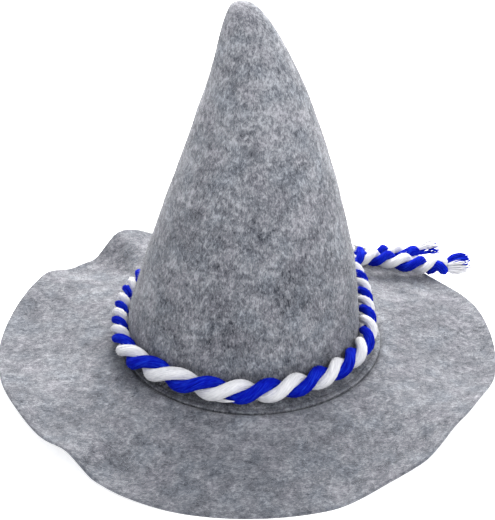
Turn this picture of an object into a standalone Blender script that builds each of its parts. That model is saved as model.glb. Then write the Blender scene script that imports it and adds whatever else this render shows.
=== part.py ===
"""Tyrolean hat at rest: a pointed felt crown on a wavy felt brim, with a two-ply cord tied round it.

Units are metres, +Z is up and the wearer's front faces -Y. The origin is on the surface that the
hat rests on, under the middle of the brim.
"""

import math
from collections import namedtuple

import bmesh
import bpy
from mathutils import Matrix, Vector

Fold = namedtuple("Fold", "azimuth height reach")
Section = namedtuple("Section", "height centre_x centre_y half_width half_depth")
Hold = namedtuple("Hold", "azimuth radius height")
Twist = namedtuple("Twist", "along turns")

# Felt
FELT = 0.002
HEAD_OPENING = Vector((0.0035, 0.0, 0.0))
SEAM_RADIUS = 0.0985
SEAM_HEIGHT = 0.0220
HAT_HEIGHT = 0.3000

# Brim: a flat-cut ring of felt whose edge lies in folds
BRIM_RADIUS = 0.191
BRIM_INNER_RADIUS = 0.0900
BRIM_COLUMNS = 72
TUCK_RADIUS = 0.0996
TUCK_HEIGHT = 0.0172
STEP_WIDTH = 0.0026
STEP_RISE = 0.0023
SLOPE_REACH = 0.88
SLOPE_CURVE = 1.25
BRIM_RINGS = (0.22, 0.46, 0.70, SLOPE_REACH, 1.0)

# Each row is the crest, foot or valley of a fold in the brim's edge. The height is that of the
# underside above the surface, and the reach is added to the brim's radius.
FOLDS = (
    Fold(-165, 0.0150, 0.0),
    Fold(-152, 0.0190, 0.0),
    Fold(-141, 0.0165, 0.0),
    Fold(-133, 0.0195, -0.001),
    Fold(-124, 0.0065, 0.0),
    Fold(-114, 0.0020, 0.0),
    Fold(-102, 0.0, 0.0),
    Fold(-73, 0.0, 0.0),
    Fold(-58, 0.0095, 0.0),
    Fold(-49, 0.0130, 0.0),
    Fold(-37, 0.0270, 0.0),
    Fold(-26, 0.0225, -0.002),
    Fold(-7, 0.0090, 0.0),
    Fold(13, 0.0105, 0.0),
    Fold(39, 0.0, 0.0),
    Fold(66, 0.0, -0.001),
    Fold(88, 0.0040, 0.0),
    Fold(110, 0.0020, 0.0),
    Fold(124, 0.0190, 0.0),
    Fold(133, 0.0, 0.001),
    Fold(137, 0.0, 0.003),
    Fold(151, 0.0160, 0.0),
    Fold(174, 0.0115, 0.0),
)

# Crown: level sections above the cord, from its foot to its blunt tip
CROWN_COLUMNS = 36
CROWN_SECTIONS = (
    Section(0.045, -0.0064, 0.0036, 0.0879, 0.0856),
    Section(0.060, -0.0045, 0.0034, 0.0850, 0.0820),
    Section(0.095, -0.0012, 0.0028, 0.0775, 0.0738),
    Section(0.130, 0.0005, 0.0022, 0.0682, 0.0652),
    Section(0.165, 0.0021, 0.0016, 0.0581, 0.0558),
    Section(0.200, 0.0027, 0.0012, 0.0470, 0.0453),
    Section(0.230, 0.0024, 0.0008, 0.0368, 0.0356),
    Section(0.255, 0.0006, 0.0005, 0.0279, 0.0270),
    Section(0.275, -0.0023, 0.0002, 0.0205, 0.0198),
    Section(0.290, -0.0049, 0.0, 0.0138, 0.0134),
    Section(0.2965, -0.0064, 0.0, 0.0092, 0.0090),
    Section(0.2993, -0.0074, 0.0, 0.0044, 0.0044),
    Section(HAT_HEIGHT, -0.0078, 0.0, 0.0, 0.0),
)
CROWN_LEVELS = (0.10, 0.23, 0.36, 0.49, 0.62, 0.74, 0.84, 0.915, 0.963, 0.986, 0.9972)
FLANGE_ANGLES = (90.0, 64.0, 42.0, 22.0)
FLANGE_SQUARENESS = 3.0
SHOULDER_RISE = 0.0055
SHOULDER_SHARE = 0.25
CONE_RISE = 0.0130

# Cord: two plies of yarn laid round each other
PLY_RADIUS = 0.0033
LAY_RADIUS = 0.0042
CORD_RADIUS = PLY_RADIUS + LAY_RADIUS
CORD_CLEARANCE = 0.0005
PLY_POINTS_A_TURN = 8
PLY_BEVEL_RESOLUTION = 1
ROUTE_STEP = 0.001
TIP_TAPER = 0.003

# Where the cord lies against the crown, about the middle of the head opening
CORD_HOLD = (
    Hold(94, 0.0922, 0.0540),
    Hold(110, 0.0928, 0.0530),
    Hold(128, 0.0952, 0.0500),
    Hold(145, 0.0990, 0.0460),
    Hold(158, 0.1010, 0.0420),
    Hold(170, 0.1012, 0.0390),
    Hold(182, 0.1010, 0.0372),
    Hold(194, 0.1012, 0.0346),
    Hold(206, 0.0998, 0.0342),
    Hold(220, 0.0970, 0.0358),
    Hold(234, 0.0948, 0.0364),
    Hold(248, 0.0932, 0.0358),
    Hold(263, 0.0920, 0.0352),
    Hold(278, 0.0908, 0.0354),
    Hold(292, 0.0900, 0.0358),
    Hold(306, 0.0896, 0.0360),
    Hold(320, 0.0898, 0.0362),
    Hold(333, 0.0908, 0.0372),
    Hold(344, 0.0906, 0.0394),
    Hold(353, 0.0888, 0.0417),
    Hold(361, 0.0878, 0.0438),
    Hold(370, 0.0882, 0.0464),
    Hold(378, 0.0902, 0.0490),
    Hold(387, 0.0924, 0.0515),
)
# The wall behind the knot, which the cord doesn't press
BARE_WALL = (
    Hold(402, 0.0925, 0.0530),
    Hold(422, 0.0935, 0.0550),
    Hold(440, 0.0930, 0.0550),
)
# The short end, from its tip, lies low on the brim and runs in under the knot
SHORT_END = (
    Vector((0.1560, 0.1480, 0.0082)),
    Vector((0.1425, 0.1435, 0.0090)),
    Vector((0.1300, 0.1375, 0.0105)),
    Vector((0.1180, 0.1365, 0.0122)),
    Vector((0.1065, 0.1350, 0.0128)),
    Vector((0.0945, 0.1315, 0.0143)),
    Vector((0.0835, 0.1240, 0.0197)),
    Vector((0.0730, 0.1160, 0.0300)),
    Vector((0.0620, 0.1040, 0.0410)),
    Vector((0.0460, 0.0965, 0.0490)),
    Vector((0.0230, 0.0935, 0.0530)),
)
# The long end turns once round the short one and comes out in front of it, to its tip
LONG_END = (
    Vector((0.0765, 0.0580, 0.0525)),
    Vector((0.0720, 0.0775, 0.0545)),
    Vector((0.0685, 0.0950, 0.0565)),
    Vector((0.0640, 0.1105, 0.0555)),
    Vector((0.0555, 0.1205, 0.0475)),
    Vector((0.0480, 0.1172, 0.0365)),
    Vector((0.0490, 0.1050, 0.0285)),
    Vector((0.0585, 0.0965, 0.0275)),
    Vector((0.0722, 0.0950, 0.0275)),
    Vector((0.0840, 0.1020, 0.0268)),
    Vector((0.0935, 0.1105, 0.0245)),
    Vector((0.1055, 0.1140, 0.0207)),
    Vector((0.1185, 0.1160, 0.0172)),
    Vector((0.1320, 0.1170, 0.0140)),
    Vector((0.1455, 0.1180, 0.0110)),
    Vector((0.1570, 0.1195, 0.0095)),
    Vector((0.1700, 0.1240, 0.0086)),
    Vector((0.1810, 0.1255, 0.0082)),
)
# How far the lay has turned at places along the cord
LAY = (
    Twist(0.000, 0.86),
    Twist(0.031, 2.16),
    Twist(0.0535, 3.17),
    Twist(0.0755, 4.18),
    Twist(0.287, 14.14),
    Twist(0.342, 17.06),
    Twist(0.363, 18.01),
    Twist(0.398, 18.93),
    Twist(0.446, 19.91),
    Twist(0.490, 20.90),
    Twist(0.531, 21.91),
    Twist(0.569, 22.94),
    Twist(0.602, 24.01),
    Twist(0.629, 25.06),
    Twist(0.671, 27.10),
    Twist(0.857, 35.19),
    Twist(0.907, 37.19),
    Twist(0.935, 38.40),
)

GREY_FELT = (0.30, 0.31, 0.33)
BLUE_YARN = (0.006, 0.016, 0.52)
WHITE_YARN = (0.82, 0.83, 0.86)


def clear_scene():
    for thing in list(bpy.data.objects):
        bpy.data.objects.remove(thing, do_unlink=True)


def new_collection(name):
    collection = bpy.data.collections.new(name)
    bpy.context.scene.collection.children.link(collection)
    return collection


def new_material(name, colour, roughness):
    material = bpy.data.materials.new(name)
    material.use_nodes = True
    shader = material.node_tree.nodes["Principled BSDF"]
    shader.inputs["Base Color"].default_value = (*colour, 1.0)
    shader.inputs["Roughness"].default_value = roughness
    shader.inputs["Metallic"].default_value = 0.0
    return material


def slopes(xs, ys):
    """Slope at each row of a table, flat at crests and valleys, so that a curve never overshoots."""
    steps = [(ys[i + 1] - ys[i]) / (xs[i + 1] - xs[i]) for i in range(len(xs) - 1)]
    found = [steps[0]]
    for before, after in zip(steps, steps[1:]):
        if before * after <= 0.0:
            found.append(0.0)
        else:
            found.append(2.0 * before * after / (before + after))
    found.append(steps[-1])
    return found


def read_table(rows, key, column, x, turn=None):
    """Value of a column at x, on a smooth curve through the rows. With a turn, the table is a ring."""
    xs = [getattr(row, key) for row in rows]
    ys = [getattr(row, column) for row in rows]
    if turn:
        x = xs[0] + (x - xs[0]) % turn
        xs = [xs[-2] - turn, xs[-1] - turn] + xs + [xs[0] + turn, xs[1] + turn]
        ys = ys[-2:] + ys + ys[:2]
    x = min(max(x, xs[0]), xs[-1])
    i = max(j for j in range(len(xs) - 1) if xs[j] <= x)
    width = xs[i + 1] - xs[i]
    t = (x - xs[i]) / width
    slope = slopes(xs, ys)
    return (
        ys[i] * (1 + 2 * t) * (1 - t) ** 2
        + ys[i + 1] * t * t * (3 - 2 * t)
        + width * (slope[i] * t * (1 - t) ** 2 - slope[i + 1] * t * t * (1 - t))
    )


def around(azimuth, radius, height):
    """A point about the middle of the head opening. The azimuth is in degrees from +X."""
    angle = math.radians(azimuth)
    return Vector((radius * math.cos(angle), radius * math.sin(angle), height))


def grid_mesh(name, rows, closed_top=None):
    """A sheet from rings of points, all with the same number, and a last point that closes it."""
    mesh = bmesh.new()
    rings = [[mesh.verts.new(point) for point in row] for row in rows]
    count = len(rings[0])
    for lower, upper in zip(rings, rings[1:]):
        for i in range(count):
            j = (i + 1) % count
            mesh.faces.new((lower[i], lower[j], upper[j], upper[i]))
    if closed_top is not None:
        tip = mesh.verts.new(closed_top)
        for i in range(count):
            mesh.faces.new((rings[-1][i], rings[-1][(i + 1) % count], tip))
    data = bpy.data.meshes.new(name)
    mesh.to_mesh(data)
    mesh.free()
    data.shade_smooth()
    return data


def place(name, data, material, collection):
    thing = bpy.data.objects.new(name, data)
    data.materials.append(material)
    thing.location = HEAD_OPENING
    collection.objects.link(thing)
    return thing


def thicken(sheet):
    """Felt of one thickness, grown from the sheet's back."""
    felt = sheet.modifiers.new("felt", "SOLIDIFY")
    felt.thickness = FELT
    felt.offset = -1.0
    felt.use_even_offset = True


def brim_edge(azimuth):
    """A point of the brim's lower edge, about the head opening."""
    reach = read_table(FOLDS, "azimuth", "reach", azimuth, 360)
    height = read_table(FOLDS, "azimuth", "height", azimuth, 360)
    return around(azimuth, BRIM_RADIUS + reach, height) - HEAD_OPENING


def brim_ring(share):
    """A ring of the brim's underside between the seam, share 0, and the edge, share 1."""
    step_radius = TUCK_RADIUS + STEP_WIDTH
    step_height = TUCK_HEIGHT + STEP_RISE
    slope = max(0.0, 1.0 - share / SLOPE_REACH) ** SLOPE_CURVE
    ring = []
    for i in range(BRIM_COLUMNS):
        azimuth = 360.0 * i / BRIM_COLUMNS
        edge = brim_edge(azimuth)
        seam = around(azimuth, step_radius, 0.0)
        point = seam.lerp(edge, share)
        point.z = step_height * slope + edge.z * share
        ring.append(point)
    return ring


def make_brim(material, collection):
    """A sheet that is the brim's underside. Its inner part is tucked in under the crown's flange."""
    columns = [360.0 * i / BRIM_COLUMNS for i in range(BRIM_COLUMNS)]
    rings = [
        [around(azimuth, BRIM_INNER_RADIUS, TUCK_HEIGHT) for azimuth in columns],
        [around(azimuth, TUCK_RADIUS, TUCK_HEIGHT) for azimuth in columns],
        brim_ring(0.0),
    ]
    rings += [brim_ring(share) for share in BRIM_RINGS]
    thicken(place("brim", grid_mesh("brim", rings), material, collection))


def wall_hold(azimuth):
    """Radius and height of the crown's waist, pressed in by the cord."""
    rows = CORD_HOLD + BARE_WALL
    radius = read_table(rows, "azimuth", "radius", azimuth, 360)
    height = read_table(rows, "azimuth", "height", azimuth, 360)
    return radius - CORD_RADIUS - CORD_CLEARANCE, height


def cone_point(azimuth, height):
    """A point of the crown's level section at this height."""
    column = {
        name: read_table(CROWN_SECTIONS, "height", name, height)
        for name in Section._fields[1:]
    }
    angle = math.radians(azimuth)
    return Vector(
        (
            column["centre_x"] + column["half_width"] * math.cos(angle),
            column["centre_y"] + column["half_depth"] * math.sin(angle),
            height,
        )
    )


def crown_column(azimuth):
    """The crown's outer side at one azimuth, from the flange's edge up to below the tip."""
    radius, height = wall_hold(azimuth)
    column = []
    for angle in map(math.radians, FLANGE_ANGLES):
        inward = abs(math.cos(angle)) ** (2.0 / FLANGE_SQUARENESS)
        down = abs(math.sin(angle)) ** (2.0 / FLANGE_SQUARENESS)
        flange_radius = SEAM_RADIUS - (SEAM_RADIUS - radius) * inward
        column.append(around(azimuth, flange_radius, height - (height - SEAM_HEIGHT) * down))
    waist = around(azimuth, radius, height)
    foot = cone_point(azimuth, height + CONE_RISE)
    shoulder = waist.lerp(foot, SHOULDER_SHARE)
    shoulder.z = height + SHOULDER_RISE
    column += [waist, shoulder, foot]
    for level in CROWN_LEVELS:
        column.append(cone_point(azimuth, foot.z + (HAT_HEIGHT - foot.z) * level))
    return column


def make_crown(material, collection):
    columns = [crown_column(360.0 * i / CROWN_COLUMNS) for i in range(CROWN_COLUMNS)]
    rings = list(zip(*columns))
    tip = cone_point(0.0, HAT_HEIGHT)
    thicken(place("crown", grid_mesh("crown", rings, tip), material, collection))


def curve_point(points, i, t):
    """A point of a smooth curve through the points, between number i and the next."""
    a = points[max(i - 1, 0)]
    b = points[i]
    c = points[i + 1]
    d = points[min(i + 2, len(points) - 1)]
    return 0.5 * (
        2.0 * b
        + (c - a) * t
        + (2.0 * a - 5.0 * b + 4.0 * c - d) * t * t
        + (3.0 * b - a - 3.0 * c + d) * t ** 3
    )


def cord_route():
    """Points of the cord's centre line at even steps, from the short end's tip to the long end's."""
    held = [around(hold.azimuth, hold.radius, hold.height) for hold in CORD_HOLD]
    points = [*SHORT_END, *held, *LONG_END]
    route = [points[0]]
    last = points[0]
    left = ROUTE_STEP
    for i in range(len(points) - 1):
        pieces = max(8, round((points[i + 1] - points[i]).length / (ROUTE_STEP / 4.0)))
        for k in range(1, pieces + 1):
            point = curve_point(points, i, k / pieces)
            left -= (point - last).length
            last = point
            if left <= 0.0:
                route.append(point)
                left += ROUTE_STEP
    return route


def route_frames(route):
    """A side direction at each point of the route, carried along with no twist of its own."""
    sides = []
    side = Vector((0.0, 0.0, 1.0))
    for i in range(len(route)):
        tangent = (route[min(i + 1, len(route) - 1)] - route[max(i - 1, 0)]).normalized()
        side = (side - tangent * side.dot(tangent)).normalized()
        sides.append((tangent, side))
    return sides


def ply_points(route, frames, start_turn):
    """Centre line of one ply, a helix about the route, and a radius factor at each point."""
    turns = [read_table(LAY, "along", "turns", i * ROUTE_STEP) for i in range(len(route))]
    points = []
    wanted = turns[0]
    for i, turn in enumerate(turns):
        if turn < wanted and i < len(turns) - 1:
            continue
        wanted += 1.0 / PLY_POINTS_A_TURN
        tangent, side = frames[i]
        spin = Matrix.Rotation(-2.0 * math.pi * (turn + start_turn), 3, tangent)
        end = min(i, len(route) - 1 - i) * ROUTE_STEP
        points.append((route[i] + LAY_RADIUS * (spin @ side), min(1.0, 0.75 + end / TIP_TAPER)))
    return points


def make_ply(name, start_turn, material, collection, route, frames):
    curve = bpy.data.curves.new(name, "CURVE")
    curve.dimensions = "3D"
    curve.bevel_depth = PLY_RADIUS
    curve.bevel_resolution = PLY_BEVEL_RESOLUTION
    curve.use_fill_caps = True
    points = ply_points(route, frames, start_turn)
    spline = curve.splines.new("POLY")
    spline.points.add(len(points) - 1)
    for spot, (point, size) in zip(spline.points, points):
        spot.co = (*point, 1.0)
        spot.radius = size
    place(name, curve, material, collection)


def main():
    clear_scene()
    hat = new_collection("tyrolean_hat")
    felt = new_material("grey_felt", GREY_FELT, 0.95)
    blue = new_material("blue_yarn", BLUE_YARN, 0.85)
    white = new_material("white_yarn", WHITE_YARN, 0.85)
    make_brim(felt, hat)
    make_crown(felt, hat)
    route = cord_route()
    frames = route_frames(route)
    make_ply("cord_blue_ply", 0.0, blue, hat, route, frames)
    make_ply("cord_white_ply", 0.5, white, hat, route, frames)


main()
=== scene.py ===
"""Tyrolean hat: the looks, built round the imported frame.

Everything is in metres in the hat's own frame: +Z up, the front towards -Y, the origin on the
surface under the middle of the brim.
"""

import math
from collections import namedtuple

import bpy
import numpy as np
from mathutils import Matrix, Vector, noise


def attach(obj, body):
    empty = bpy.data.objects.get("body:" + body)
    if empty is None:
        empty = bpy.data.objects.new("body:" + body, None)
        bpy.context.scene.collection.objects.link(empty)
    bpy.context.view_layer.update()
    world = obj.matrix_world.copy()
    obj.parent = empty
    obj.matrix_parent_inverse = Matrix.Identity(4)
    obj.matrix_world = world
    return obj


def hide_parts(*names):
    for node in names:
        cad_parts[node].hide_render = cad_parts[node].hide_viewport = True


Fold = namedtuple("Fold", "azimuth height reach")
Section = namedtuple("Section", "height centre_x centre_y half_width half_depth")
Hold = namedtuple("Hold", "azimuth radius height")
Twist = namedtuple("Twist", "along turns")
Girth = namedtuple("Girth", "along size")
Fray = namedtuple("Fray", "kind count low high width bulge spread length wave")
Layer = namedtuple("Layer", "size weight detail")
Ripple = namedtuple("Ripple", "size depth seed")
Lamp = namedtuple("Lamp", "name place target power colour")

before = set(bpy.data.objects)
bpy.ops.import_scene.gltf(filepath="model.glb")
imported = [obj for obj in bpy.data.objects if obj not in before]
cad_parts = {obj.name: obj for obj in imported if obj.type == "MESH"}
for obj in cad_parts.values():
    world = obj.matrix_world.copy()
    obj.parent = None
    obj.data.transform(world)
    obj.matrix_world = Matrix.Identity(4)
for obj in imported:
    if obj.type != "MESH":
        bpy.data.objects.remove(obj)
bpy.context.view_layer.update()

# Camera: the photo looks along +Y and down by this angle
CAMERA_TILT = math.radians(32.0)
CAMERA_DISTANCE = 1.30
CAMERA_TARGET = Vector((0.0002, -0.0346, 0.1120))
CAMERA_LENS = 130.05
CAMERA_SENSOR = 36.0

# Studio: a white table lit from below, an even sky and three round lamps
TABLE_COLOUR = (0.90, 0.90, 0.90)
TABLE_GLOW = 0.62
TABLE_REACH = 8.0
SKY_COLOUR = (0.95, 0.97, 1.0)
SKY_STRENGTH = 1.00
LAMP_SIZE = 0.9
LAMPS = (
    Lamp("behind", (0.1, 0.95, 0.85), (0.0, 0.05, 0.05), 38.0, (1.0, 0.975, 0.930)),
    Lamp("overhead", (0.1, 0.1, 1.25), (0.0, 0.0, 0.1), 6.0, (1.0, 1.0, 1.0)),
    Lamp("front_right", (1.3, -1.1, 1.2), (0.0, 0.0, 0.2), 14.0, (1.0, 1.0, 1.0)),
)

# Felt, as in the frame
FELT = 0.002
HEAD_OPENING = np.array((0.0035, 0.0, 0.0))
SEAM_RADIUS = 0.0985
SEAM_HEIGHT = 0.0220
HAT_HEIGHT = 0.3000
BRIM_RADIUS = 0.191
BRIM_INNER_RADIUS = 0.0900
TUCK_RADIUS = 0.0996
TUCK_HEIGHT = 0.0172
STEP_WIDTH = 0.0026
STEP_RISE = 0.0023
SLOPE_REACH = 0.88
SLOPE_CURVE = 1.25
FOLDS = (
    Fold(-165, 0.0150, 0.0),
    Fold(-152, 0.0190, 0.0),
    Fold(-141, 0.0165, 0.0),
    Fold(-133, 0.0195, -0.001),
    Fold(-124, 0.0065, 0.0),
    Fold(-114, 0.0020, 0.0),
    Fold(-102, 0.0, 0.0),
    Fold(-73, 0.0, 0.0),
    Fold(-58, 0.0095, 0.0),
    Fold(-49, 0.0130, 0.0),
    Fold(-37, 0.0270, 0.0),
    Fold(-26, 0.0225, -0.002),
    Fold(-7, 0.0090, 0.0),
    Fold(13, 0.0105, 0.0),
    Fold(39, 0.0, 0.0),
    Fold(66, 0.0, -0.001),
    Fold(88, 0.0040, 0.0),
    Fold(110, 0.0020, 0.0),
    Fold(124, 0.0190, 0.0),
    Fold(133, 0.0, 0.001),
    Fold(137, 0.0, 0.003),
    Fold(151, 0.0160, 0.0),
    Fold(174, 0.0115, 0.0),
)
CROWN_SECTIONS = (
    Section(0.045, -0.0064, 0.0036, 0.0879, 0.0856),
    Section(0.060, -0.0045, 0.0034, 0.0850, 0.0820),
    Section(0.095, -0.0012, 0.0028, 0.0775, 0.0738),
    Section(0.130, 0.0005, 0.0022, 0.0682, 0.0652),
    Section(0.165, 0.0021, 0.0016, 0.0581, 0.0558),
    Section(0.200, 0.0027, 0.0012, 0.0470, 0.0453),
    Section(0.230, 0.0024, 0.0008, 0.0368, 0.0356),
    Section(0.255, 0.0006, 0.0005, 0.0279, 0.0270),
    Section(0.275, -0.0023, 0.0002, 0.0205, 0.0198),
    Section(0.290, -0.0049, 0.0, 0.0138, 0.0134),
    Section(0.2965, -0.0064, 0.0, 0.0092, 0.0090),
    Section(0.2993, -0.0074, 0.0, 0.0044, 0.0044),
    Section(HAT_HEIGHT, -0.0078, 0.0, 0.0, 0.0),
)
FLANGE_SQUARENESS = 3.0
CONE_RISE = 0.0130
SHOULDER_POWER = 1.4

# How finely the felt is drawn, and the groove that runs round the flange above its edge
CROWN_COLUMNS = 220
FLANGE_STEPS = 24
FLANGE_TURN = 0.82
RISE_STEPS = 9
SHOULDER_ROWS = 10
WAIST_MARGINS = (3, 6)
WAIST_SMOOTHINGS = 6
CONE_ROWS = 96
TIP_CROWDING = 1.35
BRIM_COLUMNS = 300
BRIM_RINGS = 46
CALM_BRIM_RINGS = 6
BRIM_WAKING_RINGS = 8.0
LOWEST_LIFTED = 0.004
GROOVE_INSET = 0.0046
GROOVE_HALF_WIDTH = 0.0008
GROOVE_DEPTH = 0.0009
RIM_SHARES = (0.2, 0.5, 0.8)
RIM_BULGE = 0.18

# Unevenness of the felt: the size and depth of its bumps, and the seed of their places
CROWN_RIPPLES = (
    Ripple(0.030, 0.00045, 1),
    Ripple(0.011, 0.00018, 2),
    Ripple(0.0045, 0.00008, 3),
)
BRIM_RIPPLES = (
    Ripple(0.036, 0.00040, 4),
    Ripple(0.013, 0.00020, 5),
    Ripple(0.0050, 0.00009, 6),
)

# Cord, as in the frame
CORD_RADIUS = 0.0075
CORD_CLEARANCE = 0.0005
ROUTE_STEP = 0.001
RING_RADIUS = 0.104
RING_HEIGHT = 0.030
CORD_HOLD = (
    Hold(94, 0.0922, 0.0540),
    Hold(110, 0.0928, 0.0530),
    Hold(128, 0.0952, 0.0500),
    Hold(145, 0.0990, 0.0460),
    Hold(158, 0.1010, 0.0420),
    Hold(170, 0.1012, 0.0390),
    Hold(182, 0.1010, 0.0372),
    Hold(194, 0.1012, 0.0346),
    Hold(206, 0.0998, 0.0342),
    Hold(220, 0.0970, 0.0358),
    Hold(234, 0.0948, 0.0364),
    Hold(248, 0.0932, 0.0358),
    Hold(263, 0.0920, 0.0352),
    Hold(278, 0.0908, 0.0354),
    Hold(292, 0.0900, 0.0358),
    Hold(306, 0.0896, 0.0360),
    Hold(320, 0.0898, 0.0362),
    Hold(333, 0.0908, 0.0372),
    Hold(344, 0.0906, 0.0394),
    Hold(353, 0.0888, 0.0417),
    Hold(361, 0.0878, 0.0438),
    Hold(370, 0.0882, 0.0464),
    Hold(378, 0.0902, 0.0490),
    Hold(387, 0.0924, 0.0515),
)
BARE_WALL = (
    Hold(402, 0.0925, 0.0530),
    Hold(422, 0.0935, 0.0550),
    Hold(440, 0.0930, 0.0550),
)
SHORT_END = (
    (0.1560, 0.1480, 0.0082),
    (0.1425, 0.1435, 0.0090),
    (0.1300, 0.1375, 0.0105),
    (0.1180, 0.1365, 0.0122),
    (0.1065, 0.1350, 0.0128),
    (0.0945, 0.1315, 0.0143),
    (0.0835, 0.1240, 0.0197),
    (0.0730, 0.1160, 0.0300),
    (0.0620, 0.1040, 0.0410),
    (0.0460, 0.0965, 0.0490),
    (0.0230, 0.0935, 0.0530),
)
LONG_END = (
    (0.0765, 0.0580, 0.0525),
    (0.0720, 0.0775, 0.0545),
    (0.0685, 0.0950, 0.0565),
    (0.0640, 0.1105, 0.0555),
    (0.0555, 0.1205, 0.0475),
    (0.0480, 0.1172, 0.0365),
    (0.0490, 0.1050, 0.0285),
    (0.0585, 0.0965, 0.0275),
    (0.0722, 0.0950, 0.0275),
    (0.0840, 0.1020, 0.0268),
    (0.0935, 0.1105, 0.0245),
    (0.1055, 0.1140, 0.0207),
    (0.1185, 0.1160, 0.0172),
    (0.1320, 0.1170, 0.0140),
    (0.1455, 0.1180, 0.0110),
    (0.1570, 0.1195, 0.0095),
    (0.1700, 0.1240, 0.0086),
    (0.1810, 0.1255, 0.0082),
)
LAY = (
    Twist(0.000, 0.86),
    Twist(0.031, 2.16),
    Twist(0.0535, 3.17),
    Twist(0.0755, 4.18),
    Twist(0.287, 14.14),
    Twist(0.342, 17.06),
    Twist(0.363, 18.01),
    Twist(0.398, 18.93),
    Twist(0.446, 19.91),
    Twist(0.490, 20.90),
    Twist(0.531, 21.91),
    Twist(0.569, 22.94),
    Twist(0.602, 24.01),
    Twist(0.629, 25.06),
    Twist(0.671, 27.10),
    Twist(0.857, 35.19),
    Twist(0.907, 37.19),
    Twist(0.935, 38.40),
)

# A ply is a bundle of yarns, flattened where it lies against the other one. Along the cord the
# plies are slimmer where the lay is tight.
PLY_OFFSET = 0.0040
PLY_HALF_DEPTH = 0.0043
PLY_HALF_WIDTH = 0.0050
GIRTHS = (
    Girth(0.000, 0.88),
    Girth(0.040, 0.88),
    Girth(0.060, 0.82),
    Girth(0.090, 0.75),
    Girth(0.290, 0.75),
    Girth(0.342, 0.79),
    Girth(0.363, 0.91),
    Girth(0.385, 1.03),
    Girth(0.420, 1.07),
    Girth(0.510, 1.07),
    Girth(0.560, 0.99),
    Girth(0.600, 0.88),
    Girth(0.630, 0.78),
    Girth(0.670, 0.74),
    Girth(0.820, 0.77),
    Girth(0.860, 0.88),
    Girth(0.885, 0.94),
    Girth(0.935, 0.92),
)
YARNS_A_PLY = 18
POINTS_A_YARN = 4
YARN_RELIEF = 0.00022
YARN_PROFILE = (-1.0, 0.25, 0.85, 0.25)
YARN_DRIFT = 0.40
YARN_WANDER = 0.35
YARN_WANDER_SIZE = 0.018
YARN_STAND = 0.5
YARN_STAND_SIZE = 0.012
YARN_STRETCH = 9.0
PLY_SWELL = 0.045
PLY_SWELL_SIZE = 0.016
PLY_STEP = 0.0027
PINCH_REACH = 0.004
PINCH_DEPTH = 0.80
WALL_SHARE = 0.85
TUBE_SIDES = 6

# Hairs that stand off the yarns
FUZZ_ON_CORD = 16000
CORD_HAIR_LENGTHS = (0.0012, 0.0022)
CORD_HAIR_RADIUS = 0.00010
HAIR_ROOT_DEPTH = 0.0002

# Turns added to the lay where the cord springs back before its frays
SLACK = (
    Twist(0.0, 1.44),
    Twist(0.010, 0.97),
    Twist(0.018, 0.50),
    Twist(0.0275, 0.09),
    Twist(0.0387, -0.05),
    Twist(0.0535, 0.0),
    Twist(0.860, 0.0),
    Twist(0.876, -0.09),
    Twist(0.892, -0.16),
    Twist(0.900, -0.09),
    Twist(0.9055, -0.12),
    Twist(0.914, -0.60),
    Twist(0.940, -0.80),
)

# The blue ply ends in a blunt stub that leaves the long end before its fray
STUB_START = 0.9000
STUB = (
    (0.1545, 0.1172, 0.0120),
    (0.1585, 0.1153, 0.0092),
    (0.1618, 0.1136, 0.0066),
)
STUB_RADIUS = 0.0036
STUB_SHARES = (0.33, 0.67, 1.0)

# Frayed yarns at the two ends. Their angles go round the cord from the front, 90 being the top,
# and their distances from its middle are at the root, the widest place and the tip.
SHORT_FRAY_LENGTH = 0.0200
SHORT_FRAY = (
    Fray(1, 46, 60.0, 200.0, 0.0030, 0.0078, 0.0052, 1.00, 0.0004),
    Fray(0, 11, -30.0, 85.0, 0.0034, 0.0042, 0.0066, 1.10, 0.0018),
)
LONG_FRAY_LENGTH = 0.0205
LONG_FRAY = (
    Fray(0, 30, 52.0, 185.0, 0.0020, 0.0088, 0.0080, 0.98, 0.0004),
    Fray(1, 62, -160.0, 56.0, 0.0022, 0.0084, 0.0062, 0.95, 0.0004),
    Fray(0, 5, -10.0, 50.0, 0.0010, 0.0070, 0.0080, 1.07, 0.0010),
)
FRAY_YARN_RADIUS = 0.00062
FRAY_POINTS = 14
FRAY_LOWEST = 0.0016

# Where each ply's skin begins and ends inside the frays, as shares of their lengths
BLUE_START_SHARE = 0.90
WHITE_START_SHARE = 0.72
WHITE_END_SHARE = 0.90

# Yarns that hang loose from the white ply at the front
LOOSE_YARN_START = 0.4565
LOOSE_YARN_REACH = 0.0190
LOOSE_YARN_DROPS = (-0.0005, 0.0003, 0.0012)
LOOSE_YARN_RADIUS = 0.00034
LOOSE_YARN_POINTS = 18
LOOSE_YARN_DEPTH_SHARE = 0.80
LOOSE_YARN_FORWARD = 0.80
LOOSE_YARN_DOWN = 0.60

# Loose fibres on the felt
CROWN_FUZZ = 26000
BRIM_FUZZ = 30000
FUZZ_LENGTHS = (0.0014, 0.0036)
FUZZ_RADIUS = 0.00006
FUZZ_SIDES = {"crown": 1.0, "brim": -1.0}
FUZZ_LIGHT = (0.34, 0.343, 0.352)
FUZZ_DARK = (0.035, 0.036, 0.042)

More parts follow.
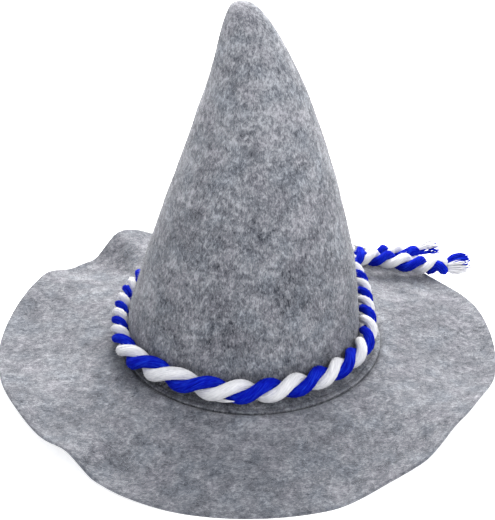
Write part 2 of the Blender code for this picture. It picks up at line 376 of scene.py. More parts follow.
# Finish of the felt, from the coarsest blotches to single fibres: the size of the marks in metres,
# how strongly they show and their inner detail
BLOTCHES = (
    Layer(0.0300, 0.30, 1.0),
    Layer(0.0095, 0.36, 2.0),
    Layer(0.0040, 0.50, 2.0),
)
CROWN_FIBRES = Layer(0.00120, 1.10, 2.0)
CROWN_STRETCH = 4.0
CROWN_WAYS = ((0.0, 1.57, 0.0), (0.0, 1.15, 0.4), (0.0, 2.1, -0.3))
BRIM_FIBRES = Layer(0.00105, 0.80, 2.0)
BRIM_STRETCH = 2.4
BRIM_CALM = 0.80
BRIM_WAYS = ((0.0, 0.0, 0.06), (0.0, 0.0, -0.20), (0.0, 0.0, 0.9))
FELT_DARK = (0.017, 0.019, 0.027)
FELT_MIDDLE = (0.124, 0.129, 0.147)
FELT_LIGHT = (0.318, 0.325, 0.348)
# Painted light: how much paler the felt is painted at the tip, and the height where the paling starts,
# for the brighter light on the crown's top
PAINTED_LIGHT_AT_TIP = 0.20
PAINTED_LIGHT_START = 0.130

# Each yarn's colour in the hollows, darkened there as painted shade, over most of it, and where it is
# palest, a painted highlight on the crests
BLUE_SHADES = ((0.0003, 0.0015, 0.13), (0.0006, 0.0045, 0.320), (0.012, 0.045, 0.52))
WHITE_SHADES = ((0.42, 0.425, 0.47), (0.600, 0.598, 0.622), (0.74, 0.74, 0.75))


def read_table(rows, key, column, x, turn=None):
    """Values of a column at x, on smooth curves through the rows, flat at crests and valleys."""
    xs = np.array([getattr(row, key) for row in rows], float)
    ys = np.array([getattr(row, column) for row in rows], float)
    x = np.asarray(x, float)
    if turn:
        x = xs[0] + (x - xs[0]) % turn
        xs = np.concatenate([xs[-2:] - turn, xs, xs[:2] + turn])
        ys = np.concatenate([ys[-2:], ys, ys[:2]])
    x = np.clip(x, xs[0], xs[-1])
    steps = np.diff(ys) / np.diff(xs)
    before, after = steps[:-1], steps[1:]
    same_way = before * after > 0.0
    total = np.where(same_way, before + after, 1.0)
    middle = np.where(same_way, 2.0 * before * after / total, 0.0)
    slope = np.concatenate([steps[:1], middle, steps[-1:]])
    i = np.clip(np.searchsorted(xs, x, side="right") - 1, 0, len(xs) - 2)
    width = xs[i + 1] - xs[i]
    t = (x - xs[i]) / width
    return (
        ys[i] * (1 + 2 * t) * (1 - t) ** 2
        + ys[i + 1] * t * t * (3 - 2 * t)
        + width * (slope[i] * t * (1 - t) ** 2 - slope[i + 1] * t * t * (1 - t))
    )


def around(azimuth, radius, height):
    """Points about the middle of the head opening. Azimuths are in degrees from +X."""
    angle = np.radians(azimuth)
    x = radius * np.cos(angle)
    y = radius * np.sin(angle)
    return np.stack(np.broadcast_arrays(x, y, height), axis=-1) + HEAD_OPENING


def unit(vectors):
    return vectors / np.maximum(np.linalg.norm(vectors, axis=-1, keepdims=True), 1e-12)


def ripple(points, size, seed):
    """Smooth noise between about -1 and 1 at each point, with bumps of this size."""
    flat = points.reshape(-1, 3) / size + seed * 17.3
    values = [noise.noise(Vector(point)) for point in flat]
    return np.array(values).reshape(points.shape[:-1])


def mesh_object(name, points, faces, material, smooth=True):
    mesh = bpy.data.meshes.new(name)
    mesh.from_pydata(points.tolist(), [], faces)
    mesh.validate()
    if smooth:
        mesh.shade_smooth()
    mesh.materials.append(material)
    thing = bpy.data.objects.new(name, mesh)
    bpy.context.scene.collection.objects.link(thing)
    return thing


def grid_faces(rows, columns):
    """Faces of a sheet whose rows are rings."""
    faces = []
    for r in range(rows - 1):
        low = r * columns
        high = low + columns
        for c in range(columns):
            d = (c + 1) % columns
            faces.append((low + c, low + d, high + d, high + c))
    return faces


def grid_normals(grid):
    """Normals of a ring grid, on the side that its faces look to."""
    along_ring = np.roll(grid, -1, axis=1) - np.roll(grid, 1, axis=1)
    across = np.gradient(grid, axis=0)
    return unit(np.cross(along_ring, across))


def add_camera():
    data = bpy.data.cameras.new("photo_camera")
    data.sensor_fit = "HORIZONTAL"
    data.sensor_width = CAMERA_SENSOR
    data.lens = CAMERA_LENS
    data.clip_end = 50.0
    camera = bpy.data.objects.new("photo_camera", data)
    back = Vector((0.0, -math.cos(CAMERA_TILT), math.sin(CAMERA_TILT)))
    camera.location = CAMERA_TARGET + back * CAMERA_DISTANCE
    camera.rotation_euler = (math.pi / 2 - CAMERA_TILT, 0.0, 0.0)
    bpy.context.scene.collection.objects.link(camera)
    bpy.context.scene.camera = camera


def add_lamp(lamp):
    data = bpy.data.lights.new(lamp.name, "AREA")
    data.shape = "DISK"
    data.size = LAMP_SIZE
    data.energy = lamp.power
    data.color = lamp.colour
    light = bpy.data.objects.new(lamp.name, data)
    light.location = lamp.place
    aim = Vector(lamp.target) - Vector(lamp.place)
    light.rotation_euler = aim.to_track_quat("-Z", "Y").to_euler()
    bpy.context.scene.collection.objects.link(light)


def add_studio():
    world = bpy.data.worlds.new("studio")
    world.use_nodes = True
    background = world.node_tree.nodes["Background"]
    background.inputs["Color"].default_value = (*SKY_COLOUR, 1.0)
    background.inputs["Strength"].default_value = SKY_STRENGTH
    bpy.context.scene.world = world
    for lamp in LAMPS:
        add_lamp(lamp)
    bpy.context.scene.view_settings.view_transform = "Standard"


def add_floor():
    """A white table lit from below, so that shadows on it fade out."""
    material = bpy.data.materials.new("pale_floor")
    material.use_nodes = True
    shader = material.node_tree.nodes["Principled BSDF"]
    shader.inputs["Base Color"].default_value = (*TABLE_COLOUR, 1.0)
    shader.inputs["Roughness"].default_value = 0.85
    shader.inputs["Emission Color"].default_value = (1.0, 1.0, 1.0, 1.0)
    shader.inputs["Emission Strength"].default_value = TABLE_GLOW
    ways = ((-1, -1, 0), (1, -1, 0), (1, 1, 0), (-1, 1, 0))
    corners = np.array(ways) * TABLE_REACH
    floor = mesh_object("floor", corners, [(0, 1, 2, 3)], material, smooth=False)


class Nodes:
    """Builds a material's node tree with few words."""

    def __init__(self, name):
        self.material = bpy.data.materials.new(name)
        self.material.use_nodes = True
        self.tree = self.material.node_tree
        self.shader = self.tree.nodes["Principled BSDF"]
        self.place = self.add("ShaderNodeTexCoord").outputs["Object"]

    def add(self, kind, **settings):
        node = self.tree.nodes.new(kind)
        for name, value in settings.items():
            setattr(node, name, value)
        return node

    def feed(self, socket, value):
        if isinstance(value, bpy.types.NodeSocket):
            self.tree.links.new(value, socket)
        else:
            socket.default_value = value

    def math(self, operation, first, second):
        node = self.add("ShaderNodeMath", operation=operation)
        self.feed(node.inputs[0], first)
        self.feed(node.inputs[1], second)
        return node.outputs[0]

    def noise(self, size, detail=2.0, roughness=0.55, distortion=0.0, stretch=1.0, turn=(0, 0, 0)):
        """Noise whose marks are about this size in metres, longer along one way where stretched."""
        vector = self.place
        if stretch != 1.0:
            mapping = self.add("ShaderNodeMapping", vector_type="TEXTURE")
            self.feed(mapping.inputs["Vector"], self.place)
            mapping.inputs["Rotation"].default_value = turn
            mapping.inputs["Scale"].default_value = (stretch, 1.0, 1.0)
            vector = mapping.outputs["Vector"]
        node = self.add("ShaderNodeTexNoise")
        self.feed(node.inputs["Vector"], vector)
        node.inputs["Scale"].default_value = 1.0 / size
        node.inputs["Detail"].default_value = detail
        node.inputs["Roughness"].default_value = roughness
        node.inputs["Distortion"].default_value = distortion
        return node.outputs["Fac"]

    def weigh(self, mark, weight):
        """A mark centred on zero, as strong as its weight."""
        return self.math("MULTIPLY", self.math("SUBTRACT", mark, 0.5), 2.0 * weight)

    def height(self):
        """Height above the surface that the hat rests on."""
        node = self.add("ShaderNodeSeparateXYZ")
        self.feed(node.inputs["Vector"], self.place)
        return node.outputs["Z"]

    def ramp(self, value, stops):
        node = self.add("ShaderNodeValToRGB")
        ramp = node.color_ramp
        while len(ramp.elements) < len(stops):
            ramp.elements.new(0.5)
        for element, (at, colour) in zip(ramp.elements, stops):
            element.position = at
            element.color = (*colour, 1.0)
        self.feed(node.inputs["Fac"], value)
        return node.outputs["Color"]

    def mix(self, share, first, second, blend="MIX"):
        node = self.add("ShaderNodeMix", data_type="RGBA", blend_type=blend)
        self.feed(node.inputs["Factor"], share)
        self.feed(node.inputs["A"], first)
        self.feed(node.inputs["B"], second)
        return node.outputs["Result"]

    def bump(self, height, depth, strength):
        node = self.add("ShaderNodeBump")
        node.inputs["Strength"].default_value = strength
        node.inputs["Distance"].default_value = depth
        self.feed(node.inputs["Height"], height)
        self.tree.links.new(node.outputs["Normal"], self.shader.inputs["Normal"])

    def set(self, **values):
        for name, value in values.items():
            socket = self.shader.inputs[name.replace("_", " ").title()]
            self.feed(socket, value)


def felt_material(name, layer_of_fibres, stretch, fibre_ways, contrast=1.0):
    """Melange felt: pressed grey fibres in light and dark clumps, with a dry sheen, and painted light
    that makes it paler from partway up the crown to the tip.
    """
    nodes = Nodes(name)
    total = 0.5
    for layer in BLOTCHES:
        mark = nodes.noise(layer.size, layer.detail, distortion=0.6)
        total = nodes.math("ADD", nodes.weigh(mark, layer.weight * contrast), total)
    ways = [
        nodes.noise(layer_of_fibres.size, layer_of_fibres.detail, 0.6, 0.9, stretch, turn)
        for turn in fibre_ways
    ]
    longest = nodes.math("MAXIMUM", ways[0], ways[1])
    shortest = nodes.math("MINIMUM", ways[0], ways[2])
    fibres = nodes.math("MULTIPLY", nodes.math("ADD", longest, shortest), 0.5)
    total = nodes.math("ADD", nodes.weigh(fibres, layer_of_fibres.weight), total)
    # Painted light: the felt is made paler with height above a level on the crown, standing in for the
    # light that falls more on its top
    risen = nodes.math("SUBTRACT", nodes.height(), PAINTED_LIGHT_START)
    paler = nodes.math("MULTIPLY", risen, PAINTED_LIGHT_AT_TIP / (HAT_HEIGHT - PAINTED_LIGHT_START))
    total = nodes.math("ADD", nodes.math("MAXIMUM", paler, 0.0), total)
    grey = nodes.ramp(total, ((0.0, FELT_DARK), (0.5, FELT_MIDDLE), (1.0, FELT_LIGHT)))
    tint = nodes.ramp(
        nodes.noise(0.019, 1.0),
        ((0.32, (0.97, 1.0, 1.02)), (0.5, (1.0, 1.0, 1.0)), (0.68, (1.02, 0.995, 1.005))),
    )
    nodes.set(base_color=nodes.mix(1.0, grey, tint, "MULTIPLY"), roughness=0.92)
    nodes.shader.inputs["Sheen Weight"].default_value = 0.15
    nodes.shader.inputs["Sheen Roughness"].default_value = 0.55
    nodes.shader.inputs["Sheen Tint"].default_value = (0.97, 0.975, 1.0, 1.0)
    nodes.shader.inputs["Specular IOR Level"].default_value = 0.12
    clumps = nodes.noise(0.0036, 3.0, 0.6)
    height = nodes.math("ADD", nodes.math("MULTIPLY", clumps, 0.5), fibres)
    nodes.bump(height, 0.0009, 0.9)
    return nodes.material


def yarn_material(name, shades):
    """Soft spun yarn: fine fibres lying along it, with painted shade in its hollows and a painted
    highlight on its crests.
    """
    shade, colour, light = shades
    nodes = Nodes(name)
    lay = nodes.add("ShaderNodeAttribute", attribute_name="lay")
    nodes.place = lay.outputs["Vector"]
    streaks = nodes.noise(0.0008, 3.0, 0.65, 0.4, YARN_STRETCH)
    broad = nodes.noise(0.0045, 2.0)
    broad = nodes.math("MULTIPLY", broad, 0.25)
    value = nodes.math("ADD", nodes.math("MULTIPLY", streaks, 0.75), broad)
    # The ramp paints shade into the hollows of the streaks and a highlight onto their crests, where
    # the bump puts them
    nodes.set(
        base_color=nodes.ramp(value, ((0.30, shade), (0.48, colour), (0.70, light))),
        roughness=0.88,
    )
    nodes.shader.inputs["Sheen Weight"].default_value = 0.10
    nodes.shader.inputs["Sheen Roughness"].default_value = 0.45
    nodes.shader.inputs["Sheen Tint"].default_value = (*light, 1.0)
    nodes.shader.inputs["Specular IOR Level"].default_value = 0.05
    nodes.bump(streaks, 0.0006, 1.0)
    return nodes.material


def fibre_material(name, colour):
    """Single loose fibres of one shade, some paler than others."""
    nodes = Nodes(name)
    paler = tuple(1.5 * channel for channel in colour)
    shades = nodes.ramp(nodes.noise(0.006, 1.0), ((0.35, colour), (0.65, paler)))
    nodes.set(base_color=shades, roughness=0.9)
    nodes.shader.inputs["Specular IOR Level"].default_value = 0.1
    return nodes.material


def wall_hold(azimuth):
    """Radius and height of the crown's waist, pressed in by the cord."""
    rows = CORD_HOLD + BARE_WALL
    radius = read_table(rows, "azimuth", "radius", azimuth, 360)
    height = read_table(rows, "azimuth", "height", azimuth, 360)
    return radius - CORD_RADIUS - CORD_CLEARANCE, height


def cone_point(azimuth, height):
    """Points of the crown's level sections at these heights."""
    column = {
        name: read_table(CROWN_SECTIONS, "height", name, height)
        for name in Section._fields[1:]
    }
    angle = np.radians(azimuth)
    x = column["centre_x"] + column["half_width"] * np.cos(angle)
    y = column["centre_y"] + column["half_depth"] * np.sin(angle)
    return np.stack(np.broadcast_arrays(x, y, height), axis=-1) + HEAD_OPENING


def smooth_rows(grid, first, last, times):
    """Even out these rows of a grid, each towards the rows beside it."""
    for _ in range(times):
        middle = grid[first : last + 1]
        grid[first : last + 1] = (grid[first - 1 : last] + 2 * middle + grid[first + 1 : last + 2]) / 4
    return grid


def flange_shares():
    """Shares of the way in and of the way down along the curve from the waist to the flange's edge."""
    inward = list(np.linspace(0.0, FLANGE_TURN, FLANGE_STEPS))
    down = [(1.0 - share**FLANGE_SQUARENESS) ** (1.0 / FLANGE_SQUARENESS) for share in inward]
    rise = np.linspace(down[-1], 0.0, RISE_STEPS)[1:]
    inward += [(1.0 - share**FLANGE_SQUARENESS) ** (1.0 / FLANGE_SQUARENESS) for share in rise]
    return zip(inward, down + list(rise))


def crown_outside(cord):
    """Rings of the crown's outer side, from the flange's edge to just below the tip."""
    azimuth = np.arange(CROWN_COLUMNS) * 360.0 / CROWN_COLUMNS
    radius, height = wall_hold(azimuth)
    radius = radius + cord.slack_at(azimuth)
    rows = []
    for inward, down in flange_shares():
        from_edge = (SEAM_RADIUS - radius) * inward
        groove = GROOVE_DEPTH * np.exp(-(((from_edge - GROOVE_INSET) / GROOVE_HALF_WIDTH) ** 2))
        level = height - (height - SEAM_HEIGHT) * down - groove
        rows.append(around(azimuth, SEAM_RADIUS - from_edge, level))
    waist = rows[-1]
    foot = cone_point(azimuth, height + CONE_RISE)
    for share in np.linspace(0.0, 1.0, SHOULDER_ROWS + 1)[1:]:
        ring = waist + (foot - waist) * share**SHOULDER_POWER
        ring[:, 2] = height + CONE_RISE * share
        rows.append(ring)
    for share in np.linspace(0.0, 1.0, CONE_ROWS + 1)[1:-1]:
        level = 1.0 - (1.0 - share) ** TIP_CROWDING
        rows.append(cone_point(azimuth, foot[:, 2] + (HAT_HEIGHT - foot[:, 2]) * level))
    grid = np.array(rows)
    first = FLANGE_STEPS + RISE_STEPS - WAIST_MARGINS[0]
    last = FLANGE_STEPS + RISE_STEPS + SHOULDER_ROWS + WAIST_MARGINS[1]
    return smooth_rows(grid, first, last, WAIST_SMOOTHINGS)


def felt_skin(name, face_side, back_side, material, tip=None):
    """A closed felt wall between two ring grids, with a softly rounded cut edge between them."""
    rows, columns = face_side.shape[:2]

    def rim(outer, inner, away):
        steps = []
        for share in RIM_SHARES:
            bulge = math.sin(math.pi * share) * FELT * RIM_BULGE
            steps.append(outer + (inner - outer) * share + away * bulge)
        return np.array(steps)

    first_away = unit(face_side[0] - face_side[1])
    skin = [back_side[::-1], rim(back_side[0], face_side[0], first_away), face_side]
    if tip is None:
        last_away = unit(face_side[-1] - face_side[-2])
        skin.append(rim(face_side[-1], back_side[-1], last_away))
    grid = np.concatenate(skin, axis=0)
    count = len(grid)
    faces = grid_faces(count, columns)
    points = grid.reshape(-1, 3)
    if tip is None:
        last = (count - 1) * columns
        faces += [(last + c, last + (c + 1) % columns, (c + 1) % columns, c) for c in range(columns)]
    else:
        points = np.concatenate([points, [tip, tip - np.array((0.0, 0.0, FELT))]])
        outer_tip = len(points) - 2
        last = (count - 1) * columns
        faces += [(last + c, last + (c + 1) % columns, outer_tip) for c in range(columns)]
        faces += [((c + 1) % columns, c, outer_tip + 1) for c in range(columns)]
    return mesh_object(name, points, faces, material)


def felt_unevenness(grid, ripples, share):
    """How far the felt stands in or out of its plain shape at each point."""
    total = np.zeros(grid.shape[:2])
    for layer in ripples:
        total += layer.depth * ripple(grid, layer.size, layer.seed)
    return total * share


def make_crown(felt, cord):
    outside = crown_outside(cord)
    normals = grid_normals(outside)
    calm_rows = np.clip(np.arange(len(outside)) / (FLANGE_STEPS + RISE_STEPS), 0.0, 1.0)[:, None]
    outside = outside + normals * felt_unevenness(outside, CROWN_RIPPLES, calm_rows)[..., None]
    inside = outside - grid_normals(outside) * FELT
    tip = cone_point(0.0, HAT_HEIGHT)
    crown = felt_skin("felt_crown", outside, inside, felt, tip)
    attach(crown, "root")
    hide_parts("crown")
    return outside


def brim_underside():
    """Rings of the brim's underside, from its inner edge out."""
    azimuth = np.arange(BRIM_COLUMNS) * 360.0 / BRIM_COLUMNS
    reach = read_table(FOLDS, "azimuth", "reach", azimuth, 360)
    height = read_table(FOLDS, "azimuth", "height", azimuth, 360)
    edge = around(azimuth, BRIM_RADIUS + reach, height) - HEAD_OPENING
    seam = around(azimuth, TUCK_RADIUS + STEP_WIDTH, 0.0)
    rings = [
        around(azimuth, BRIM_INNER_RADIUS + (TUCK_RADIUS - BRIM_INNER_RADIUS) * share, TUCK_HEIGHT)
        for share in (0.0, 0.5, 0.9, 1.0)
    ]
    rings += [
        around(azimuth, TUCK_RADIUS + STEP_WIDTH * share, TUCK_HEIGHT + STEP_RISE * share)
        for share in (0.33, 0.67)
    ]
    for share in np.linspace(0.0, 1.0, BRIM_RINGS):
        slope = max(0.0, 1.0 - share / SLOPE_REACH) ** SLOPE_CURVE
        ring = seam + (edge - seam) * share
        ring[:, 2] = (TUCK_HEIGHT + STEP_RISE) * slope + edge[:, 2] * share
        rings.append(ring)
    return np.array(rings)


def make_brim(felt):
    underside = brim_underside()
    up = -grid_normals(underside)
    rows = np.arange(len(underside))[:, None]
    calm = np.clip((rows - CALM_BRIM_RINGS) / BRIM_WAKING_RINGS, 0.0, 1.0)
    waves = felt_unevenness(underside, BRIM_RIPPLES, calm)
    top = underside + up * (FELT + waves[..., None])
    lift = np.maximum(waves, 0.0) * np.clip(underside[..., 2] / LOWEST_LIFTED, 0.0, 1.0)
    underside = underside + up * lift[..., None]
    brim = felt_skin("felt_brim", underside, top, felt)
    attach(brim, "root")
    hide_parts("brim")
    return top


def curve_point(points, i, t):
    """A point of a smooth curve through the points, between number i and the next."""
    a = points[max(i - 1, 0)]
    b = points[i]
    c = points[i + 1]
    d = points[min(i + 2, len(points) - 1)]
    return 0.5 * (
        2.0 * b
        + (c - a) * t
        + (2.0 * a - 5.0 * b + 4.0 * c - d) * t * t
        + (3.0 * b - a - 3.0 * c + d) * t**3
    )


def cord_route():
    """Points of the cord's centre line at even steps, from the short end's tip to the long end's."""
    held = [around(hold.azimuth, hold.radius, hold.height) for hold in CORD_HOLD]
    ends = [[np.array(point) + HEAD_OPENING for point in end] for end in (SHORT_END, LONG_END)]
    points = ends[0] + held + ends[1]
    fine = [points[0]]
    for i in range(len(points) - 1):
        pieces = max(8, round(np.linalg.norm(points[i + 1] - points[i]) / (ROUTE_STEP / 4.0)))
        fine += [curve_point(points, i, k / pieces) for k in range(1, pieces + 1)]
    fine = np.array(fine)
    along = np.concatenate([[0.0], np.cumsum(np.linalg.norm(np.diff(fine, axis=0), axis=1))])
    even = np.arange(0.0, along[-1], ROUTE_STEP)
    return np.stack([np.interp(even, along, fine[:, axis]) for axis in range(3)], axis=1)


def route_frames(route):
    """Tangent and two side directions along the route, carried along with no twist of their own."""
    tangents = unit(np.gradient(route, axis=0))
    sides = []
    side = np.array((0.0, 0.0, 1.0))
    for tangent in tangents:
        side = unit(side - tangent * side.dot(tangent))
        sides.append(side)
    sides = np.array(sides)
    return tangents, sides, np.cross(tangents, sides)


def sample(values, along):
    """Values given at each route step, read at other places along the route."""
    steps = np.arange(len(values)) * ROUTE_STEP
    return np.stack([np.interp(along, steps, values[:, axis]) for axis in range(3)], axis=-1)


class Cord:
    """The cord's route with its lay, and the places about it."""

    def __init__(self):
        self.route = cord_route()
        self.length = (len(self.route) - 1) * ROUTE_STEP
        self.tangents, self.sides, self.ups = route_frames(self.route)

    def turns(self, along):
        return read_table(LAY, "along", "turns", along) + read_table(SLACK, "along", "turns", along)

    def size(self, along):
        return read_table(GIRTHS, "along", "size", along)

    def slack_at(self, azimuth):
        """How far the slim stretches of the ring would stand off the crown at each azimuth."""
        about = self.route - HEAD_OPENING
        held = np.hypot(about[:, 0], about[:, 1]) < RING_RADIUS
        ring = np.flatnonzero(held & (about[:, 2] > RING_HEIGHT))
        angle = np.degrees(np.arctan2(about[ring, 1], about[ring, 0])) % 360.0
        order = np.argsort(angle)
        slack = CORD_RADIUS * (1.0 - self.size(ring * ROUTE_STEP)) * WALL_SHARE
        return np.interp(azimuth, angle[order], slack[order], period=360.0)

    def axes(self, along, start_turn):
        """The outward and the sideways direction of a ply's section."""
        angle = -2.0 * math.pi * (self.turns(along) + start_turn)
        side = unit(sample(self.sides, along))
        up = unit(sample(self.ups, along))
        cosine = np.cos(angle)[:, None]
        sine = np.sin(angle)[:, None]
        return side * cosine + up * sine, up * cosine - side * sine

    def upright(self, along):
        """The cord's direction, its upper side and its side towards the front of the hat."""
        tangent = unit(sample(self.tangents, along))
        top = np.array((0.0, 0.0, 1.0)) - tangent * tangent[:, 2:]
        top = unit(top)
        front = np.cross(tangent, top)
        return tangent, top, front * np.sign(-front[:, 1:2])


def smooth_random(rng, along, columns, size):
    """Random values that change smoothly along the cord, between about -1 and 1."""
    knots = max(4, int((along[-1] - along[0]) / size))
    places = np.linspace(along[0], along[-1], knots)
    values = rng.uniform(-1.0, 1.0, (knots, columns))
    return np.stack([np.interp(along, places, values[:, c]) for c in range(columns)], axis=1)


def ply_line(cord, start_turn, low, high):
    """Middle line of a ply that follows the lay, the directions of its section and its size."""
    along = np.linspace(low, high, round((high - low) / PLY_STEP))
    outward, sideways = cord.axes(along, start_turn)
    size = cord.size(along)
    line = sample(cord.route, along) + outward * (PLY_OFFSET * size)[:, None]
    return line, outward, sideways, size


def add_stub(line, outward, sideways, size):
    """Lead a ply's last stretch off the lay, to the blunt end beside the fray."""
    knots = [line[-3], line[-1]] + [np.array(point) + HEAD_OPENING for point in STUB]
    more = [curve_point(knots, i, t) for i in range(1, len(knots) - 1) for t in STUB_SHARES]
    whole = np.concatenate([line, more])
    tangents = unit(np.gradient(whole, axis=0))
    outs, asides = list(outward), list(sideways)
    for tangent in tangents[len(line) :]:
        out = unit(outs[-1] - tangent * outs[-1].dot(tangent))
        outs.append(out)
        asides.append(np.cross(out, tangent) * np.sign(np.cross(outs[-2], tangent).dot(asides[-1])))
    stub_size = STUB_RADIUS / PLY_HALF_WIDTH
    sizes = np.concatenate([size, np.linspace(size[-1], stub_size, len(more) + 1)[1:]])
    return whole, np.array(outs), np.array(asides), sizes


def rounded_end(line, from_last):
    """How wide a ply is near one of its ends, which is rounded over this length."""
    steps = np.linalg.norm(np.diff(line, axis=0), axis=1)
    along = np.concatenate([[0.0], np.cumsum(steps)])
    distance = along[-1] - along if from_last else along
    short = np.clip(1.0 - distance / PINCH_REACH, 0.0, 1.0)
    return np.sqrt(1.0 - PINCH_DEPTH * short**2)


def ply_mesh(cord, start_turn, seed, stub):
    """The skin of a ply: a scalloped section that turns with the lay, a crest for each yarn."""
    low = SHORT_FRAY_LENGTH * (BLUE_START_SHARE if stub else WHITE_START_SHARE)
    high = STUB_START if stub else cord.length - LONG_FRAY_LENGTH * WHITE_END_SHARE
    line, outward, sideways, size = ply_line(cord, start_turn, low, high)
    if stub:
        line, outward, sideways, size = add_stub(line, outward, sideways, size)
    size = size * rounded_end(line, False) * rounded_end(line, True)
    count = len(line)
    along = low + np.arange(count) * PLY_STEP
    columns = YARNS_A_PLY * POINTS_A_YARN
    column = np.arange(columns)
    drift = YARN_DRIFT * cord.turns(np.minimum(along, high))[:, None]
    rng = np.random.default_rng(seed)
    wander = smooth_random(rng, along, YARNS_A_PLY, YARN_WANDER_SIZE)
    wander = np.repeat(wander, POINTS_A_YARN, axis=1) * YARN_WANDER / YARNS_A_PLY
    around_ply = 2.0 * math.pi * (column / columns + drift + wander)
    relief = np.array(YARN_PROFILE)[column % POINTS_A_YARN]
    stand = np.repeat(smooth_random(rng, along, YARNS_A_PLY, YARN_STAND_SIZE), POINTS_A_YARN, axis=1)
    lift = YARN_RELIEF * relief * (1.0 + YARN_STAND * stand)
    swell = size[:, None] * (1.0 + PLY_SWELL * smooth_random(rng, along, 1, PLY_SWELL_SIZE))
    out_part = (PLY_HALF_DEPTH * swell + lift) * np.cos(around_ply)
    side_part = (PLY_HALF_WIDTH * swell + lift) * np.sin(around_ply)
    skin = line[:, None, :] + outward[:, None, :] * out_part[..., None]
    skin = skin + sideways[:, None, :] * side_part[..., None]
    plain = 2.0 * math.pi * column / columns
    ring = np.stack([np.cos(plain), np.sin(plain)], axis=1) * PLY_HALF_WIDTH
    lay = np.zeros((count, columns, 3))
    lay[..., 1:] = ring
    lay[..., 0] = along[:, None] + seed
    return skin, lay


class Build:
    """Points and faces of a mesh with several materials, gathered piece by piece."""

    def __init__(self):
        self.points = []
        self.lays = []
        self.faces = []
        self.kinds = []
        self.count = 0

    def add(self, points, faces, kind, lay=None):
        points = points.reshape(-1, 3)
        self.points.append(points)
        self.lays.append(points if lay is None else lay.reshape(-1, 3))
        self.faces += [tuple(self.count + i for i in face) for face in faces]
        self.kinds += [kind] * len(faces)
        self.count += len(points)

    def tube_grid(self, grid, kind, lay=None):
        """Rings that follow one another, closed at both ends by a point."""
        rows, columns = grid.shape[:2]
        caps = np.array([grid[0].mean(axis=0), grid[-1].mean(axis=0)])
        faces = grid_faces(rows, columns)
        first, last = rows * columns, rows * columns + 1
        end = (rows - 1) * columns
        faces += [((c + 1) % columns, c, first) for c in range(columns)]
        faces += [(end + c, end + (c + 1) % columns, last) for c in range(columns)]
        if lay is not None:
            lay = np.concatenate([lay.reshape(-1, 3), lay[0, :1], lay[-1, :1]])
        self.add(np.concatenate([grid.reshape(-1, 3), caps]), faces, kind, lay)

    def tube(self, line, radii, kind):
        line = np.asarray(line)
        tangents = unit(np.gradient(line, axis=0))
        helper = np.array((0.31, 0.23, 0.92))
        side = unit(np.cross(tangents, helper))
        up = np.cross(tangents, side)
        angle = (2.0 * math.pi * np.arange(TUBE_SIDES) / TUBE_SIDES)[None, :, None]
        ring = np.cos(angle) * side[:, None, :] + np.sin(angle) * up[:, None, :]
        self.tube_grid(line[:, None, :] + ring * np.asarray(radii)[:, None, None], kind)

    def fibres(self, roots, leans, lengths, radius, kind, rng):
        """Short hairs, each a thin spike from its root."""
        points, faces = spikes(roots, leans, lengths, radius, rng)
        self.add(points, faces, kind)

    def object(self, name, materials):
        thing = mesh_object(name, np.concatenate(self.points), self.faces, materials[0])
        for material in materials[1:]:
            thing.data.materials.append(material)
        thing.data.polygons.foreach_set("material_index", np.array(self.kinds, np.int32))
        lay = thing.data.attributes.new("lay", "FLOAT_VECTOR", "POINT")
        lay.data.foreach_set("vector", np.concatenate(self.lays).astype(np.float32).ravel())
        return thing


def spikes(roots, leans, lengths, radius, rng):
    """Points and faces of thin three-sided spikes that start at the roots and lean their own way."""
    count = len(roots)
    leans = unit(leans)
    side = unit(np.cross(leans, rng.normal(size=(count, 3))))
    up = np.cross(leans, side)
    corners = [
        roots + (side * math.cos(turn) + up * math.sin(turn)) * radius
        for turn in (0.0, 2.0 * math.pi / 3.0, 4.0 * math.pi / 3.0)
    ]
    points = np.stack([*corners, roots + leans * lengths[:, None]], axis=1)
    pattern = ((2, 1, 0), (0, 1, 3), (1, 2, 3), (2, 0, 3))
    faces = [tuple(4 * i + k for k in face) for i in range(count) for face in pattern]
    return points.reshape(-1, 3), faces


def fray(build, cord, rows, length, at_start, seed):
    """The loose yarns in which the cord ends."""
    rng = np.random.default_rng(seed)
    reach = np.linspace(0.0, 1.0, FRAY_POINTS)
    for row in rows:
        for number in range(row.count):
            run = length * row.length * rng.uniform(0.86, 1.06)
            along = length - run * reach
            if not at_start:
                along = cord.length - along
            inside = np.clip(along, 0.0, cord.length)
            tangent, top, front = cord.upright(inside)
            beyond = (along - inside)[:, None]
            share = (number + rng.uniform(0.2, 0.8)) / row.count
            angle = math.radians(row.low + (row.high - row.low) * share)
            way = top * math.sin(angle) + front * math.cos(angle)
            fill = math.sqrt(rng.uniform(0.25, 1.0))
            belly = np.sin(math.pi * np.clip(reach / 1.15, 0.0, 1.0)) ** 0.8
            distance = row.width + (row.bulge - row.width) * belly
            distance = distance + (row.spread - row.width) * reach**4 * 0.6
            wave = row.wave * np.sin(reach * rng.uniform(5.0, 12.0) + rng.uniform(0.0, 6.0)) * reach
            across = np.cross(tangent, way)
            line = sample(cord.route, inside) + tangent * beyond
            line = line + way * (distance * fill + wave)[:, None] + across * wave[:, None]
            line[:, 2] = np.maximum(line[:, 2], FRAY_LOWEST)
            build.tube(line, FRAY_YARN_RADIUS * (1.0 - 0.5 * reach**4), row.kind)


def loose_yarns(build, cord):
    """Yarns that have slipped out of the white ply at the front and hang below it."""
    share = np.linspace(0.0, 1.0, LOOSE_YARN_POINTS)
    along = LOOSE_YARN_START + LOOSE_YARN_REACH * share
    _, top, front = cord.upright(along)
    way = unit(front * LOOSE_YARN_FORWARD - top * LOOSE_YARN_DOWN)
    root = PLY_OFFSET + PLY_HALF_DEPTH * LOOSE_YARN_DEPTH_SHARE
    for drop in LOOSE_YARN_DROPS:
        distance = root + drop * np.sin(math.pi * share)
        line = sample(cord.route, along) + way * distance[:, None]
        build.tube(line, np.full(len(share), LOOSE_YARN_RADIUS), 1)


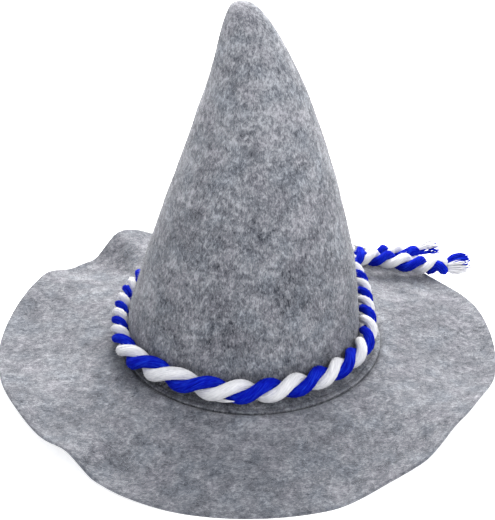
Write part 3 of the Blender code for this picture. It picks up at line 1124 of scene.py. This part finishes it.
def fuzz_on_ply(build, skin, kind, seed):
    """Hairs that stand off the yarns, leaning along the ply."""
    rng = np.random.default_rng(seed)
    normals = grid_normals(skin)
    rows, columns = skin.shape[:2]
    count = FUZZ_ON_CORD // 2
    row = rng.integers(2, rows - 2, count)
    column = rng.integers(0, columns, count)
    along = unit(skin[row + 1, column] - skin[row - 1, column])
    along = along * rng.choice((-1.0, 1.0), count)[:, None]
    away = normals[row, column]
    leans = away * rng.uniform(0.25, 1.0, count)[:, None] + along + rng.normal(size=(count, 3)) * 0.35
    roots = skin[row, column] - away * HAIR_ROOT_DEPTH
    lengths = rng.uniform(*CORD_HAIR_LENGTHS, count)
    build.fibres(roots, leans, lengths, CORD_HAIR_RADIUS, kind, rng)


def felt_fuzz(name, node, grid, count, first_row, materials, seed):
    """Loose fibres that stand a little off the felt, so that its outline is soft."""
    rng = np.random.default_rng(seed)
    normals = grid_normals(grid) * FUZZ_SIDES[node]
    rows, columns = grid.shape[:2]
    sizes = np.linalg.norm(grid[:, 1] - grid[:, 0], axis=1)
    steps = np.linalg.norm(np.gradient(grid[:, 0], axis=0), axis=1)
    chance = np.where(np.arange(rows) >= first_row, sizes * steps, 0.0)[: rows - 1]
    row = rng.choice(rows - 1, count, p=chance / chance.sum())
    column = rng.integers(0, columns, count)
    spot = rng.uniform(0.0, 1.0, (2, count, 1))
    across = grid[row + 1, column] - grid[row, column]
    aside = grid[row, (column + 1) % columns] - grid[row, column]
    away = normals[row, column]
    roots = grid[row, column] + across * spot[0] + aside * spot[1] - away * HAIR_ROOT_DEPTH
    leans = away * rng.uniform(0.05, 0.55, count)[:, None] + rng.normal(size=(count, 3)) * 0.6
    leans -= away * np.minimum(np.sum(leans * away, axis=1) - 0.05, 0.0)[:, None]
    build = Build()
    split = count // 2
    lengths = rng.uniform(*FUZZ_LENGTHS, count)
    build.fibres(roots[:split], leans[:split], lengths[:split], FUZZ_RADIUS, 0, rng)
    build.fibres(roots[split:], leans[split:], lengths[split:], FUZZ_RADIUS, 1, rng)
    piece = build.object(name, materials)
    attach(piece, "root")
    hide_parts(node)


def make_cord(cord, blue, white):
    build = Build()
    for kind, start_turn in enumerate((0.0, 0.5)):
        skin, lay = ply_mesh(cord, start_turn, 11 + kind, kind == 0)
        build.tube_grid(skin, kind, lay)
        fuzz_on_ply(build, skin, kind, 51 + kind)
    fray(build, cord, SHORT_FRAY, SHORT_FRAY_LENGTH, True, 21)
    fray(build, cord, LONG_FRAY, LONG_FRAY_LENGTH, False, 31)
    loose_yarns(build, cord)
    piece = build.object("cord", (blue, white))
    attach(piece, "root")
    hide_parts("cord_blue_ply", "cord_white_ply")


add_camera()
add_studio()
add_floor()
crown_felt = felt_material("grey_felt_crown", CROWN_FIBRES, CROWN_STRETCH, CROWN_WAYS)
brim_felt = felt_material("grey_felt_brim", BRIM_FIBRES, BRIM_STRETCH, BRIM_WAYS, BRIM_CALM)
felt_hairs = (
    fibre_material("felt_hair_light", FUZZ_LIGHT),
    fibre_material("felt_hair_dark", FUZZ_DARK),
)
blue_yarn = yarn_material("blue_yarn_fine", BLUE_SHADES)
white_yarn = yarn_material("white_yarn_fine", WHITE_SHADES)
cord_line = Cord()
make_cord(cord_line, blue_yarn, white_yarn)
crown_grid = make_crown(crown_felt, cord_line)
brim_grid = make_brim(brim_felt)
felt_fuzz("crown_fuzz", "crown", crown_grid, CROWN_FUZZ, 4, felt_hairs, 71)
felt_fuzz("brim_fuzz", "brim", brim_grid, BRIM_FUZZ, 4, felt_hairs, 72)
